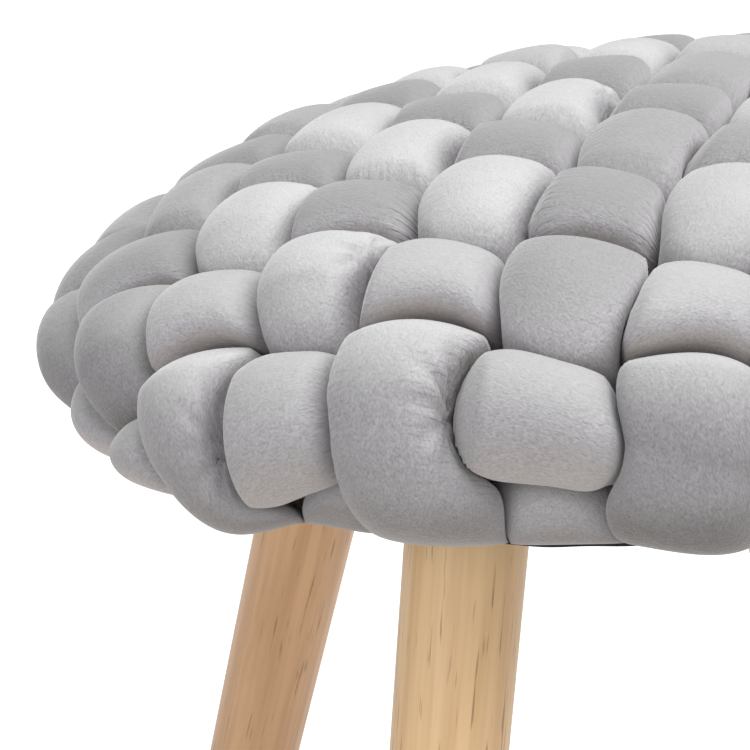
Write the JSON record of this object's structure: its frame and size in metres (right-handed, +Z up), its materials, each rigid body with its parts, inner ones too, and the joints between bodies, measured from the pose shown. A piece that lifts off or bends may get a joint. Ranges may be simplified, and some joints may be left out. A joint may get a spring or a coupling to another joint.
{
  "type": "woven pouf and legged stool base",
  "caption": "Round padded pouf seat woven over and under from stuffed velvet tubes, on a black-covered base board with splayed tapered wooden legs.",
  "frame": {"origin": "on the floor, midway between the four feet", "axes": "+Z up, +Y along the lengthwise tubes and away from the pictured front, +X along the crosswise tubes"},
  "size_m": [0.4702, 0.4702, 0.4327],
  "materials": {
    "lengthwise_velvet": "light grey short-pile velvet, nap along the lengthwise tubes",
    "crosswise_velvet": "light grey short-pile velvet, nap along the crosswise tubes",
    "core_cloth": "plain dark cloth over foam",
    "black_cloth": "thin matt black under-cover cloth",
    "board_wood": "plain board",
    "leg_wood": "pale straight-grained hardwood, satin clear finish"
  },
  "bodies": {
    "root": {"lengthwise_tube_1": "lengthwise_velvet", "lengthwise_tube_2": "lengthwise_velvet", "lengthwise_tube_3": "lengthwise_velvet", "lengthwise_tube_4": "lengthwise_velvet", "lengthwise_tube_5": "lengthwise_velvet", "lengthwise_tube_6": "lengthwise_velvet", "lengthwise_tube_7": "lengthwise_velvet", "lengthwise_tube_8": "lengthwise_velvet", "lengthwise_tube_9": "lengthwise_velvet", "lengthwise_tube_10": "lengthwise_velvet", "crosswise_tube_1": "crosswise_velvet", "crosswise_tube_2": "crosswise_velvet", "crosswise_tube_3": "crosswise_velvet", "crosswise_tube_4": "crosswise_velvet", "crosswise_tube_5": "crosswise_velvet", "crosswise_tube_6": "crosswise_velvet", "crosswise_tube_7": "crosswise_velvet", "crosswise_tube_8": "crosswise_velvet", "crosswise_tube_9": "crosswise_velvet", "seat_core": "core_cloth", "base_board": "board_wood", "under_cover": "black_cloth", "leg_1": "leg_wood", "leg_2": "leg_wood", "leg_3": "leg_wood", "leg_4": "leg_wood"}
  },
  "joints": []
}
